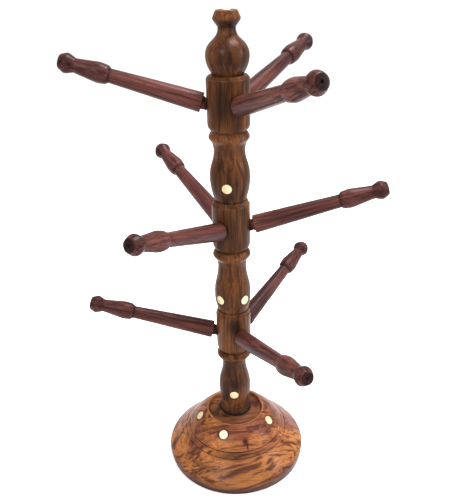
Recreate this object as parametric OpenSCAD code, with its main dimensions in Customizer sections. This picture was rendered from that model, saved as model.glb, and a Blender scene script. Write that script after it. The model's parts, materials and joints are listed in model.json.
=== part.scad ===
// Mug tree: a turned wooden stand with nine screw-in pegs on a column of four turned
// lengths, which screw into each other and into a broad round base.
// Millimetres, +Z up. The origin is on the standing surface, on the column's axis.
// Lists of three run from the lowest tier to the highest.

/* [Overall] */
// Diameter of the base at its rim
base_d = 146.6; // [122:0.2:176]
// Height of the seat in the base that the column stands on
seat_h = 53.5; // [50:0.5:68]
// Length of the foot, from the seat to the lowest joint
foot_len = 78.4; // [66:0.2:96]
// Distance between joints, which is the length of one tier
tier_len = 113; // [94:0.5:136]

/* [Base] */
// Height of the upright rim
rim_h = 12.8; // [8:0.2:15]
// Diameter of the groove round the bead at the dome's edge
bead_ring_d = 108.4; // [102:0.2:112]
// Diameter of the dome at its edge
dome_d = 99; // [90:0.2:100]
// Height of the dome's edge
dome_edge_h = 36.2; // [34:0.2:40]
// Diameter of the raised ring on the dome
crest_d = 58.6; // [52:0.2:66]
// Depth of the dish inside the raised ring, below the seat
dish_depth = 3; // [1:0.2:6]

/* [Column] */
// Diameter of each drum
drum_d = [34.4, 35.4, 37.4]; // [33:0.2:45]
// Height of each drum's upper edge above its joint
drum_h = [42.6, 45, 44.6]; // [38:0.2:54]
// Height of the sloping shoulder above the two lower drums
shoulder_h = 5.2; // [4:0.2:7]
// Height of the flatter shoulder above the top drum
top_shoulder_h = 3.4; // [2.6:0.2:6]
// Diameter of the bead under each joint
bead_d = [34.8, 36, 36.4]; // [32:0.2:43]
// Depth of the bead under each joint
bead_h = 11; // [8:0.5:13]
// Diameter of each neck
neck_d = [24.2, 27.2, 28]; // [24:0.2:33]
// Distance of each neck below its joint
neck_drop = 16.5; // [14:0.5:19]
// Diameter of each belly
belly_d = [33, 35.4, 36.6]; // [31:0.2:44]
// Where each belly is widest, as a share of the way from neck to waist
belly_at = [0.59, 0.68, 0.56]; // [0.4:0.01:0.8]
// Diameter of the waist under each belly
waist_d = [26.8, 29.6, 29.4]; // [24:0.2:32]
// Diameter of the collar that stands in the dish
collar_d = 33.6; // [30:0.2:40]
// Height of the collar
collar_h = 11.4; // [8:0.2:16]

/* [Finial] */
// Diameter of the waist under the bulb
bulb_waist_d = 26.8; // [24:0.2:32]
// Diameter of the bulb
bulb_d = 36.9; // [32:0.2:44]
// Height from the drum's shoulder to the bulb's widest place
bulb_rise = 14.4; // [11:0.2:18]
// Height from the bulb's widest place to the neck
bulb_top = 21.6; // [18:0.2:26]
// Diameter of the finial's neck
finial_neck_d = 15; // [12:0.2:18]
// Diameter of the cap at its ridge
cap_d = 23.2; // [20:0.2:28]
// Diameter of the cap's flat top
cap_top_d = 18; // [12:0.2:19]
// Height of the cap
cap_h = 14; // [11:0.2:17]
// Diameter of the button let into the cap's top
button_d = 8; // [5:0.1:10]
// Height of the button's dome
button_h = 1.8; // [1:0.1:2.8]

/* [Pegs] */
// Height of the pegs' axes above each joint
peg_rise = [16.1, 17.9, 17.2]; // [14:0.1:24]
// Directions of the lower pegs: left, back, front
lower_peg_az = [178.3, 53.3, -66.4]; // [-180:0.1:180]
// Directions of the middle pegs: back, front, right
middle_peg_az = [121.4, -122.8, -2.4]; // [-180:0.1:180]
// Directions of the upper pegs: left, back, front
upper_peg_az = [175.2, 54.9, -65.8]; // [-180:0.1:180]
// Rise of each lower peg above the level, in degrees
lower_peg_tilt = [15.2, 17.1, 16]; // [10:0.1:24]
// Rise of each middle peg
middle_peg_tilt = [18.3, 16.6, 15.6]; // [10:0.1:24]
// Rise of each upper peg
upper_peg_tilt = [16.8, 16.6, 17.9]; // [10:0.1:24]
// Diameter of a peg at its root
peg_root_d = 17.2; // [14:0.2:20.8]
// Diameter of the thin end of the shaft
peg_thin_d = 12.3; // [10:0.1:14]
// Length of the shaft that a handle hangs on
peg_shaft_len = 81.2; // [66:0.5:98]
// Diameter of the swelling past the shaft
barrel_d = 17.9; // [14.8:0.1:21.6]
// Length of the swelling, as far as the neck
barrel_len = 30.4; // [24:0.2:36]
// Diameter of a peg's neck
peg_neck_d = 12.2; // [10:0.1:14]
// Diameter of the knob
knob_d = 17.6; // [15:0.1:21]
// Length of the knob
knob_len = 14; // [12:0.2:18]
// Diameter of the knob's flat end
knob_end_d = 11.6; // [8:0.1:13]
// Diameter of the turner's centre mark in the knob's end
centre_d = 3.2; // [1:0.1:5]
// Gap between a peg's top corner and its drum
peg_gap = 1.5; // [0.5:0.1:3]

/* [Threads] */
// Diameter of a peg's threaded tenon
peg_tenon_d = 11.6; // [9:0.1:12]
// Length of a peg's threaded tenon
peg_tenon_len = 13.2; // [11:0.1:13.6]
// Pitch of a peg's thread
peg_pitch = 2.2; // [1.5:0.1:3]
// Diameter of the tenons that join the column
tenon_d = 15; // [12:0.1:18]
// Length of the tenons that join the column
tenon_len = 19; // [15:0.5:22]
// Pitch of the column's threads
tenon_pitch = 3; // [2:0.1:4]
// Depth of every thread
thread_depth = 0.9; // [0.4:0.1:1.2]

/* [Inlays] */
// Diameter of an inlaid disc
inlay_d = 8.9; // [6:0.1:12]
// Thickness of an inlaid disc
inlay_t = 3; // [1.5:0.1:4]
// Height of the discs' centres above the waist under their belly
inlay_rise = [17.1, 14.8, 14.5]; // [10:0.1:22]
// Directions of the foot's discs, set out by eye
foot_inlay_az = [-94, 5, 88, 176]; // [-180:1:180]
// Directions of the lower tier's discs
lower_inlay_az = [-135, -49, 42, 131]; // [-180:1:180]
// Directions of the middle tier's discs
middle_inlay_az = [-101, 6, 90, 174]; // [-180:1:180]
// Directions of the dome's discs
dome_inlay_az = [-171.5, -110.4, -25, 46, 117]; // [-180:0.1:180]
// How far along the dome's curve its discs lie, from edge to crest
dome_inlay_at = 0.53; // [0.4:0.01:0.6]

/* [Fits] */
// Clearance round a tenon in its hole, on the radius
tenon_fit = 0.05; // [0.02:0.01:0.1]
// Clearance past the end of a tenon
tenon_end = 0.8; // [0.5:0.1:1.5]
// Clearance round an inlaid disc, on the radius
inlay_fit = 0.02; // [0.01:0.01:0.05]

/* [Hidden] */
$fn = 96;
// Points on each curve
CURVE = 12;
// Points on each softened corner, and the most of an edge that one corner takes
CORNER = 4;
MOST = 0.49;
// A small step along a curve, to find its slope
STEP = 0.01;
LOWER = 0;
MIDDLE = 1;
UPPER = 2;

base_wood = "#a3612c";
column_wood = "#5b3421";
peg_wood = "#7d4438";
brass = "#ecd69a";

peg_az = [lower_peg_az, middle_peg_az, upper_peg_az];
peg_tilt = [lower_peg_tilt, middle_peg_tilt, upper_peg_tilt];
joint_z = [for (tier = [LOWER:UPPER]) seat_h + foot_len + tier * tier_len];
peg_z = [for (tier = [LOWER:UPPER]) joint_z[tier] + peg_rise[tier]];
// The top of each drum's shoulder, where the next belly or the bulb starts
shoulder_z = [for (tier = [LOWER:UPPER]) joint_z[tier] + drum_h[tier] + shoulder_h];
top_shoulder_z = joint_z[UPPER] + drum_h[UPPER] + top_shoulder_h;
bulb_z = top_shoulder_z + bulb_rise;
finial_neck_z = bulb_z + bulb_top;
cap_z = finial_neck_z + cap_h;
// Each belly's waist, neck and widest place
waist_z = [seat_h + collar_h, shoulder_z[LOWER], shoulder_z[MIDDLE]];
neck_z = [for (tier = [LOWER:UPPER]) joint_z[tier] - neck_drop];
widest_z = [for (tier = [LOWER:UPPER]) neck_z[tier] + (waist_z[tier] - neck_z[tier]) * belly_at[tier]];

// Turned joints: the flat ring that two lengths meet on, and the fine groove outside it
meet_inset = 3.6;
groove_inset = 2.4;
groove_open = 0.7;
// The bevel on a drum's upper edge, and the flare at its foot
bevel_w = 0.8;
bevel_h = 1;
flare_in = 0.25;
flare_low = 3.6;
flare_top = 6.5;
flare_round = 2.2;
// The fine groove at the foot of each belly and of the bulb
ring_out = 0.9;
ring_up = 1.1;
ring_in = 0.5;
// The bead under a joint: shares of its depth, and how far its ends are cut in
bead_foot_at = 0.8;
bead_low_at = 0.58;
bead_high_at = 0.4;
bead_foot_in = 1.9;
bead_top_in = 2.1;
bead_top_down = 0.9;
// How strongly the necks' and the bulb's curves stay upright at each end
belly_pull = 0.5;
bulb_pull = 0.59;
neck_pull = 0.45;
// The collar: its rounded foot, and the cove above it
collar_foot_in = 2.2;
collar_edge_in = 0.5;
collar_low = 1.2;
collar_mid = 2.6;
collar_top = 4;
cove_w = 0.2;
cove_h = 0.4;
cove_end = 0.7;
cove_groove = 0.6;
// The cap's ridge, as a share of its height, and the flat round it
ridge_at = 0.53;
ridge_down = 0.8;
ridge_up = 0.6;
// The top drum's shoulder: how far in and down it breaks
top_break_in = 1.9;
top_groove = 0.4;
// The rim of the base
rim_foot_in = 2.3;
rim_round = 4.6;
// The bead round the dome and the grooves on both sides of it
bead_ring_low = 6.2;
bead_ring_in = 0.8;
bead_ring_out = 0.5;
bead_ring_drop = 1;
flat_of_groove = 0.2;
bead_crown_out = 1.1;
bead_crown_low = 1.6;
dome_groove_in = 0.7;
dome_groove_low = 1.2;
dome_groove_top = 0.5;
// The dome's shoulder, and the raised ring's own section
dome_swell_out = 9.5;
dome_swell_low = 3.2;
crest_foot_out = 1.2;
crest_foot_up = 0.2;
crest_top_up = 1.3;
crest_top_out = 0.5;
crest_top_in = 0.4;
crest_inner_in = 1.3;
// The dish inside the ring
dish_side_in = 2.5;
dish_side_at = 1.3;
dish_floor_out = 3;
dish_floor_at = 1.2;
dish_end_in = 1;
dish_end_low = 0.6;
seat_in = 1.6;
// A peg: the rounded edge of its root face, the sag of its taper and the step at its end
peg_edge = 1.6;
taper_sag = 1.05;
taper_mid = 0.5;
step_back = 1;
// Its swelling, and where that is widest
barrel_foot_in = 0.8;
barrel_foot_at = 2.2;
barrel_foot_round = 1.6;
barrel_wide_at = 9.8;
barrel_round = 2.4;
// Its knob: the flare, the widest place, the flat end and the pit in it
knob_flare_in = 0.4;
knob_flare_at = 5.6;
knob_wide_at = 7.8;
knob_end_back = 0.2;
pit_depth = 0.8;
// A thread's form, as shares of its pitch: down, along the root, and up again
thread_down = 0.25;
thread_floor = 0.4;
thread_up = 0.65;
// How far past a surface the cutting cylinders reach
cut_past = 2;

// How far a corner is cut back before it is rounded over
CRISP = 0.3;
EASED = 0.8;
ROUND = 1.4;

// ---- Curves. Every outline is a list of [radius, height] points. ----

// A point at t on the curve that a list of control points pulls along
function bezier_at(p, t) =
    len(p) == 1 ? p[0] : bezier_at([for (i = [0:len(p) - 2]) p[i] * (1 - t) + p[i + 1] * t], t);

function bezier(p, steps = CURVE) = [for (i = [0:steps]) bezier_at(p, i / steps)];

// An S between two points, upright at both ends, which each pull sets the length of
function s_curve(a, b, pull_a, pull_b) =
    let (rise = b.y - a.y)
    bezier([a, [a.x, a.y + pull_a * rise], [b.x, b.y - pull_b * rise], b]);

// Half a belly: upright at the widest place, and ever steeper towards the waist
function half_belly(widest, waist) =
    bezier([widest, [widest.x, (widest.y + waist.y) / 2], waist]);

// The same points in the opposite order
function reversed(p) = [for (i = [len(p) - 1:-1:0]) p[i]];

// A corner cut back by a distance on both sides and bridged with a curve
function soft_corner(a, b, c, cut) =
    let (back = min(cut, norm(a - b) * MOST), on = min(cut, norm(c - b) * MOST))
    bezier([b + (a - b) / norm(a - b) * back, b, b + (c - b) / norm(c - b) * on], CORNER);

function flat_point(p) = [p.x, p.y];

// Corners given as [radius, height, cut], made into points
function softened(p) = [
    for (i = [0:len(p) - 1])
        each (i == 0 || i == len(p) - 1 || p[i].z == 0)
            ? [flat_point(p[i])]
            : soft_corner(flat_point(p[i - 1]), flat_point(p[i]), flat_point(p[i + 1]), p[i].z)
];

// A thread's crests and roots, from a tenon's tip up to its root, in the tenon's own height
function thread(diameter, length, pitch) =
    let (r = diameter / 2, turns = floor((length - pitch) / pitch), start = length - turns * pitch)
    concat(
        [[0, 0], [r - thread_depth, 0], [r, thread_depth]],
        [for (turn = [0:turns - 1]) let (z = start + turn * pitch) each [
            [r, z],
            [r - thread_depth, z + pitch * thread_down],
            [r - thread_depth, z + pitch * thread_floor],
            [r, z + pitch * thread_up]
        ]]
    );

function lifted(p, h) = [for (q = p) [q.x, q.y + h]];

// ---- Outlines of the turned lengths ----

// A drum from its joint up to its upper edge
function drum_outline(tier) =
    let (r = drum_d[tier] / 2, z = joint_z[tier])
    concat(
        [[r - meet_inset, z]],
        softened([
            [r - groove_inset, z + groove_open, 0],
            [r - flare_in, z + flare_low, flare_round],
            [r, z + flare_top, EASED],
            [r, z + drum_h[tier], EASED],
            [r - bevel_w, z + drum_h[tier] + bevel_h, 0]
        ])
    );

// A bead with its neck and belly, from the waist under the belly up to the joint
function baluster_outline(tier) =
    let (
        r = bead_d[tier] / 2,
        z = joint_z[tier],
        neck = [neck_d[tier] / 2, neck_z[tier]],
        widest = [belly_d[tier] / 2, widest_z[tier]],
        waist = [waist_d[tier] / 2, waist_z[tier]]
    )
    concat(
        reversed(half_belly(widest, waist)),
        s_curve(widest, neck, belly_pull, neck_pull),
        softened([
            [neck.x, neck.y, 0],
            [neck.x + ring_out, z - bead_h, EASED],
            [r - bead_foot_in, z - bead_h * bead_foot_at, EASED],
            [r, z - bead_h * bead_low_at, ROUND],
            [r, z - bead_h * bead_high_at, ROUND],
            [r - bead_top_in, z - bead_top_down, CRISP],
            [drum_d[tier] / 2 - meet_inset, z, 0]
        ])
    );

// The shoulder between a drum's upper edge and the waist above it, with a fine groove
function shoulder_outline(tier) =
    let (r = drum_d[tier] / 2, w = waist_d[tier + 1] / 2, z = shoulder_z[tier])
    softened([
        [r - bevel_w, joint_z[tier] + drum_h[tier] + bevel_h, 0],
        [w + ring_out, z - ring_up, EASED],
        [w - ring_in, z - ring_in, CRISP],
        [w, z, 0]
    ]);

// The tenon under a length, and the socket in its top
function tenon_outline(z, diameter = tenon_d, length = tenon_len) =
    lifted(thread(diameter, length, tenon_pitch), z - length);

function socket_outline(z) =
    let (r = tenon_d / 2 + tenon_fit, floor_z = z - tenon_len - tenon_end)
    [[r, z], [r, floor_z], [0, floor_z]];

function tier_outline(tier) =
    concat(
        tenon_outline(joint_z[tier]),
        [[tenon_d / 2, joint_z[tier]]],
        drum_outline(tier),
        shoulder_outline(tier),
        baluster_outline(tier + 1),
        socket_outline(joint_z[tier + 1])
    );

function foot_outline() =
    let (r = collar_d / 2, w = waist_d[LOWER] / 2, top = waist_z[LOWER])
    concat(
        tenon_outline(seat_h),
        [[tenon_d / 2, seat_h]],
        softened([
            [r - collar_foot_in, seat_h, 0],
            [r - collar_edge_in, seat_h + collar_low, EASED],
            [r, seat_h + collar_mid, EASED],
            [r - collar_edge_in, seat_h + collar_top, 0]
        ]),
        bezier([
            [r - collar_edge_in, seat_h + collar_top],
            [w + cove_w, seat_h + collar_top + cove_h],
            [w, top - cove_end]
        ]),
        [[w - cove_groove, top - cove_end / 2]],
        baluster_outline(LOWER),
        socket_outline(joint_z[LOWER])
    );

function upper_tier_outline() =
    let (
        r = drum_d[UPPER] / 2,
        w = bulb_waist_d / 2,
        n = finial_neck_d / 2,
        ridge_z = finial_neck_z + cap_h * ridge_at
    )
    concat(
        tenon_outline(joint_z[UPPER]),
        [[tenon_d / 2, joint_z[UPPER]]],
        drum_outline(UPPER),
        softened([
            [r - bevel_w, joint_z[UPPER] + drum_h[UPPER] + bevel_h, 0],
            [r - top_break_in, top_shoulder_z - bevel_h, EASED],
            [w + ring_out, top_shoulder_z - top_groove, EASED],
            [w - top_groove, top_shoulder_z - top_groove, CRISP],
            [w, top_shoulder_z, 0]
        ]),
        reversed(half_belly([bulb_d / 2, bulb_z], [w, top_shoulder_z])),
        s_curve([bulb_d / 2, bulb_z], [n, finial_neck_z], bulb_pull, neck_pull),
        softened([
            [n, finial_neck_z, 0],
            [n, finial_neck_z + 1, CRISP],
            [cap_d / 2, ridge_z - ridge_down, ROUND],
            [cap_d / 2, ridge_z + ridge_up, ROUND],
            [cap_top_d / 2, cap_z, ROUND],
            [button_d / 2, cap_z, 0]
        ]),
        [[0, cap_z]]
    );

// The dome's curve from its edge to the foot of its raised ring
function dome_curve_points() = [
    [dome_d / 2, dome_edge_h],
    [crest_d / 2 + dome_swell_out, seat_h - dome_swell_low],
    [crest_d / 2 + crest_foot_out, seat_h + crest_foot_up]
];

function base_outline() =
    let (
        r = base_d / 2,
        ring = bead_ring_d / 2,
        edge = dome_d / 2,
        crest = crest_d / 2,
        collar = collar_d / 2
    )
    concat(
        softened([
            [0, 0, 0],
            [r - rim_foot_in, 0, ROUND],
            [r, rim_h, rim_round],
            [ring + bead_ring_out, dome_edge_h - bead_ring_low, CRISP],
            [ring - bead_ring_in, dome_edge_h - bead_ring_low + flat_of_groove, CRISP],
            [ring - bead_ring_in, dome_edge_h - bead_ring_low + bead_ring_drop + flat_of_groove, EASED],
            [edge + bead_crown_out, dome_edge_h - bead_crown_low, EASED],
            [edge - dome_groove_in, dome_edge_h - dome_groove_low, CRISP],
            [edge - dome_groove_in, dome_edge_h - dome_groove_top, CRISP],
            [edge, dome_edge_h, 0]
        ]),
        bezier(dome_curve_points(), CURVE + CORNER),
        softened([
            [crest + crest_foot_out, seat_h + crest_foot_up, 0],
            [crest + crest_top_out, seat_h + crest_top_up, EASED],
            [crest - crest_top_in, seat_h + crest_top_up, EASED],
            [crest - crest_inner_in, seat_h - crest_foot_up, 0]
        ]),
        bezier([
            [crest - crest_inner_in, seat_h - crest_foot_up],
            [crest - dish_side_in, seat_h - dish_depth * dish_side_at],
            [collar + dish_floor_out, seat_h - dish_depth * dish_floor_at],
            [collar - dish_end_in, seat_h - dish_end_low]
        ]),
        [[collar - seat_in, seat_h]],
        socket_outline(seat_h)
    );

// ---- Outline of a peg, from its root face outwards ----

function peg_outline() =
    let (
        root = peg_root_d / 2,
        thin = peg_thin_d / 2,
        barrel = barrel_d / 2,
        neck = peg_neck_d / 2,
        knob = knob_d / 2,
        neck_z = peg_shaft_len + barrel_len,
        end_z = neck_z + knob_len
    )
    concat(
        lifted(thread(peg_tenon_d, peg_tenon_len, peg_pitch), -peg_tenon_len),
        [[peg_tenon_d / 2, 0]],
        softened([[peg_tenon_d / 2, 0, 0], [root, 0, EASED], [root, peg_edge, 0]]),
        bezier([
            [root, peg_edge],
            [root - taper_sag, peg_shaft_len * taper_mid],
            [thin, peg_shaft_len - step_back]
        ]),
        softened([
            [thin, peg_shaft_len - step_back, 0],
            [thin, peg_shaft_len, CRISP],
            [barrel - barrel_foot_in, peg_shaft_len + barrel_foot_at, barrel_foot_round],
            [barrel, peg_shaft_len + barrel_wide_at, barrel_round],
            [neck, neck_z, EASED],
            [knob - knob_flare_in, neck_z + knob_flare_at, ROUND],
            [knob, neck_z + knob_wide_at, ROUND],
            [knob_end_d / 2, end_z - knob_end_back, ROUND],
            [centre_d / 2, end_z, 0]
        ]),
        [[0, end_z - centre_d * pit_depth]]
    );

// ---- Placing ----

// The distance of a peg's root face from the column's axis: its top corner clears the drum
function root_at(tier, k) =
    let (tilt = peg_tilt[tier][k])
    (drum_d[tier] / 2 + peg_root_d / 2 * sin(tilt) + peg_gap) / cos(tilt);

module along_peg(tier, k) {
    translate([0, 0, peg_z[tier]])
        rotate([0, 0, peg_az[tier][k]])
            rotate([0, 90 - peg_tilt[tier][k], 0])
                children();
}

module peg_holes(tier) {
    for (k = [0:2])
        along_peg(tier, k)
            translate([0, 0, root_at(tier, k) - peg_tenon_len - tenon_end])
                cylinder(d = peg_tenon_d + 2 * tenon_fit, h = peg_tenon_len + peg_root_d);
}

// The belly's radius below its widest place: it falls away with the square of the depth
function belly_radius(tier, z) =
    let (down = (widest_z[tier] - z) / (widest_z[tier] - waist_z[tier]))
    (belly_d[tier] + (waist_d[tier] - belly_d[tier]) * down * down) / 2;

// Cylinders that cross the surface at the column's discs
module column_discs(tier, azimuths, diameter) {
    z = waist_z[tier] + inlay_rise[tier];
    past = belly_d[tier] / 2 + cut_past;
    floor_r = belly_radius(tier, z) - inlay_t;
    for (az = azimuths)
        translate([0, 0, z])
            rotate([0, 0, az])
                rotate([0, 90, 0])
                    translate([0, 0, floor_r])
                        cylinder(d = diameter, h = past - floor_r);
}

// Cylinders square to the dome's surface at its discs
module dome_discs(diameter) {
    p = dome_curve_points();
    at = bezier_at(p, dome_inlay_at);
    ahead = bezier_at(p, dome_inlay_at + STEP);
    lean = atan2(ahead.y - at.y, at.x - ahead.x);
    for (az = dome_inlay_az)
        rotate([0, 0, az])
            translate([at.x, 0, at.y])
                rotate([0, lean, 0])
                    translate([0, 0, -inlay_t])
                        cylinder(d = diameter, h = inlay_t + cut_past);
}

module turned(outline) {
    rotate_extrude()
        polygon(outline);
}

// ---- The pieces ----

module base() {
    color(base_wood)
        difference() {
            turned(base_outline());
            dome_discs(inlay_d + 2 * inlay_fit);
        }
}

module column_foot() {
    color(column_wood)
        difference() {
            turned(foot_outline());
            column_discs(LOWER, foot_inlay_az, inlay_d + 2 * inlay_fit);
        }
}

module lower_tier() {
    color(column_wood)
        difference() {
            turned(tier_outline(LOWER));
            peg_holes(LOWER);
            column_discs(MIDDLE, lower_inlay_az, inlay_d + 2 * inlay_fit);
        }
}

module middle_tier() {
    color(column_wood)
        difference() {
            turned(tier_outline(MIDDLE));
            peg_holes(MIDDLE);
            column_discs(UPPER, middle_inlay_az, inlay_d + 2 * inlay_fit);
        }
}

module upper_tier() {
    color(column_wood)
        difference() {
            turned(upper_tier_outline());
            peg_holes(UPPER);
            translate([0, 0, cap_z - inlay_t])
                cylinder(d = button_d + 2 * inlay_fit, h = inlay_t + cut_past);
        }
}

// A plug as deep as the discs, with a low dome that stands proud of the cap
module finial_button() {
    color(brass)
        turned(concat(
            [[0, cap_z - inlay_t], [button_d / 2, cap_z - inlay_t]],
            [for (i = [0:CURVE]) let (a = 90 * i / CURVE)
                [button_d / 2 * cos(a), cap_z + button_h * sin(a)]]
        ));
}

module peg(tier, k) {
    color(peg_wood)
        along_peg(tier, k)
            translate([0, 0, root_at(tier, k)])
                turned(peg_outline());
}

module peg_lower_left() { peg(LOWER, 0); }
module peg_lower_back() { peg(LOWER, 1); }
module peg_lower_front() { peg(LOWER, 2); }
module peg_middle_back() { peg(MIDDLE, 0); }
module peg_middle_front() { peg(MIDDLE, 1); }
module peg_middle_right() { peg(MIDDLE, 2); }
module peg_upper_left() { peg(UPPER, 0); }
module peg_upper_back() { peg(UPPER, 1); }
module peg_upper_front() { peg(UPPER, 2); }

module dome_inlays() {
    color(brass)
        intersection() {
            turned(base_outline());
            dome_discs(inlay_d);
        }
}

module foot_inlays() {
    color(brass)
        intersection() {
            turned(foot_outline());
            column_discs(LOWER, foot_inlay_az, inlay_d);
        }
}

module lower_inlays() {
    color(brass)
        intersection() {
            turned(tier_outline(LOWER));
            column_discs(MIDDLE, lower_inlay_az, inlay_d);
        }
}

module middle_inlays() {
    color(brass)
        intersection() {
            turned(tier_outline(MIDDLE));
            column_discs(UPPER, middle_inlay_az, inlay_d);
        }
}

base();
column_foot();
lower_tier();
middle_tier();
upper_tier();
finial_button();
peg_lower_left();
peg_lower_back();
peg_lower_front();
peg_middle_back();
peg_middle_front();
peg_middle_right();
peg_upper_left();
peg_upper_back();
peg_upper_front();
dome_inlays();
foot_inlays();
lower_inlays();
middle_inlays();
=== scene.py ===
import json
import math

import bpy
import numpy as np
from mathutils import Matrix, Vector


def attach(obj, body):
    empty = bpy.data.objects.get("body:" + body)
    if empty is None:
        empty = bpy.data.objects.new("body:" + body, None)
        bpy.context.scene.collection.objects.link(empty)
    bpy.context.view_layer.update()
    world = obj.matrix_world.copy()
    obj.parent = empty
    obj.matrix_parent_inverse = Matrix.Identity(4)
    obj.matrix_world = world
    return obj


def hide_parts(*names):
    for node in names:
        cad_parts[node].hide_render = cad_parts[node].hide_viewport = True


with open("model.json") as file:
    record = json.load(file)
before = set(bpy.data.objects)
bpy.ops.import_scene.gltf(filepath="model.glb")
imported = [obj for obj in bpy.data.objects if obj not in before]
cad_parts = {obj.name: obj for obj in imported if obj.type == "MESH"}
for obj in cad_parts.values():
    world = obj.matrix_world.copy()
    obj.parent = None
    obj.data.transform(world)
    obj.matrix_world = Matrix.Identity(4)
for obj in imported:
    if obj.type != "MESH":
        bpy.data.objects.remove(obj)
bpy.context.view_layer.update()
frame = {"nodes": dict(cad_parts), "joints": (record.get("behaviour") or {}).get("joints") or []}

# A turned mug tree: broad round base, a column of four screwed lengths, nine screwed pegs and
# pale inlaid discs. Sizes are in millimetres, as in the part's own source, and go into the
# meshes in metres. Every list of three runs from the lowest tier to the highest.
MM = 0.001
TIERS = ("lower", "middle", "upper")
LOWER, MIDDLE, UPPER = 0, 1, 2
JOINTS = {joint["name"]: joint for joint in frame["joints"]}

# Base
BASE_D, RIM_H = 146.6, 12.8
BEAD_RING_D, DOME_D, DOME_EDGE_H = 108.4, 99, 36.2
CREST_D, DISH_DEPTH = 58.6, 3

# Column
DRUM_D, DRUM_H = (34.4, 35.4, 37.4), (42.6, 45, 44.6)
SHOULDER_H, TOP_SHOULDER_H = 5.2, 3.4
BEAD_D, BEAD_H = (34.8, 36, 36.4), 11
NECK_D, NECK_DROP = (24.2, 27.2, 28), 16.5
BELLY_D, BELLY_AT = (33, 35.4, 36.6), (0.59, 0.68, 0.56)
WAIST_D = (26.8, 29.6, 29.4)
COLLAR_D, COLLAR_H = 33.6, 11.4
MEET_INSET, GROOVE_INSET, GROOVE_OPEN = 3.6, 2.4, 0.7
BEVEL_W, BEVEL_H = 0.8, 1

# Finial
BULB_WAIST_D, BULB_D, BULB_RISE, BULB_TOP = 26.8, 36.9, 14.4, 21.6
FINIAL_NECK_D, CAP_D, CAP_TOP_D, CAP_H = 15, 23.2, 18, 14
BUTTON_D, BUTTON_H = 8, 1.8

# Pegs
PEG_RISE = (16.1, 17.9, 17.2)
PEG_ROOT_D, PEG_THIN_D, PEG_SHAFT = 17.2, 12.3, 81.2
BARREL_D, BARREL_LEN, PEG_NECK_D = 17.9, 30.4, 12.2
KNOB_D, KNOB_LEN, KNOB_END_D, CENTRE_D = 17.6, 14, 11.6, 3.2
PEG_GAP = 1.5
PEG_TENON_D, PEG_TENON_LEN, PEG_PITCH = 11.6, 13.2, 2.2

# Threads and fits
TENON_D, TENON_LEN, THREAD_DEPTH = 15, 19, 0.9
TENON_FIT, TENON_END, INLAY_FIT = 0.05, 0.8, 0.02

# Discs
INLAY_D, INLAY_T, INLAY_RISE = 8.9, 3, (17.1, 14.8, 14.5)
DISC_AZ = ((-94, 5, 88, 176), (-135, -49, 42, 131), (-101, 6, 90, 174))
DOME_AZ, DOME_AT = (-171.5, -110.4, -25, 46, 117), 0.53

# Drums: the flare at the foot
FLARE_IN, FLARE_LOW, FLARE_TOP, FLARE_ROUND = 0.25, 3.6, 6.5, 2.2

# The fine groove at the foot of each belly and of the bulb, and the bulb's own
RING_OUT, RING_UP, RING_IN, RING_HALF_UP = 0.9, 1.1, 0.5, 0.5
BULB_RING_OUT, TOP_BREAK_IN, TOP_GROOVE = 1, 1.9, 0.4

# The bead under a joint: shares of its depth, and how far its ends are cut in
BEAD_FOOT_AT, BEAD_LOW_AT, BEAD_HIGH_AT = 0.8, 0.58, 0.4
BEAD_FOOT_IN, BEAD_TOP_IN, BEAD_TOP_DOWN = 1.9, 2.1, 0.9

# How strongly the necks' and the bulb's curves stay upright at each end
BELLY_PULL, BULB_PULL, NECK_PULL = 0.5, 0.59, 0.45

# The collar and the cove above it
COLLAR_FOOT_IN, COLLAR_EDGE_IN = 2.2, 0.5
COLLAR_LOW, COLLAR_MID, COLLAR_TOP = 1.2, 2.6, 4
COVE_W, COVE_H, COVE_END, COVE_GROOVE, COVE_GROOVE_DOWN = 0.2, 0.4, 0.7, 0.6, 0.3

# The cap's ridge, as a share of its height, and the flat round it
RIDGE_AT, RIDGE_DOWN, RIDGE_UP = 0.53, 0.8, 0.6
CAP_NECK_UP, CAP_NECK_CUT = 1, 0.4

# Base: its rim, the bead round the dome with its grooves, the dome, the raised ring, the dish
RIM_FOOT_IN, RIM_ROUND = 2.3, 4.6
BEAD_RING_OUT, BEAD_RING_IN, BEAD_RING_LOW, BEAD_RING_DROP = 0.5, 0.8, 6.2, 1
BEAD_CROWN_OUT, BEAD_CROWN_LOW = 1.1, 1.6
DOME_GROOVE_IN, DOME_GROOVE_LOW, DOME_GROOVE_TOP = 0.7, 1.2, 0.5
GROOVE_FLAT, FINE_CUT, SLIGHT_CUT, CROWN_CUT = 0.2, 0.2, 0.5, 0.6
DOME_SWELL_OUT, DOME_SWELL_LOW = 9.5, 3.2
CREST_FOOT_OUT, CREST_FOOT_UP, CREST_INNER_IN = 1.2, 0.2, 1.3
CREST_TOP_OUT, CREST_TOP_IN, CREST_TOP_UP = 0.5, 0.4, 1.3
DISH_SIDE_IN, DISH_SIDE_AT = 2.5, 1.3
DISH_FLOOR_OUT, DISH_FLOOR_AT = 3, 1.2
DISH_END_IN, DISH_END_LOW, SEAT_IN = 1, 0.6, 1.6

# Peg: the rounded edge of its root face, its taper, its swelling and its knob
PEG_EDGE, TAPER_SAG, TAPER_MID, STEP_BACK = 1.6, 1.05, 0.5, 1
BARREL_FOOT_IN, BARREL_FOOT_AT, BARREL_FOOT_ROUND = 0.8, 2.2, 1.6
BARREL_WIDE_AT, BARREL_ROUND = 9.8, 2.4
KNOB_FLARE_IN, KNOB_FLARE_AT, KNOB_WIDE_AT = 0.4, 5.6, 7.8
KNOB_END_BACK, PIT_DEPTH = 0.2, 0.8

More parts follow.
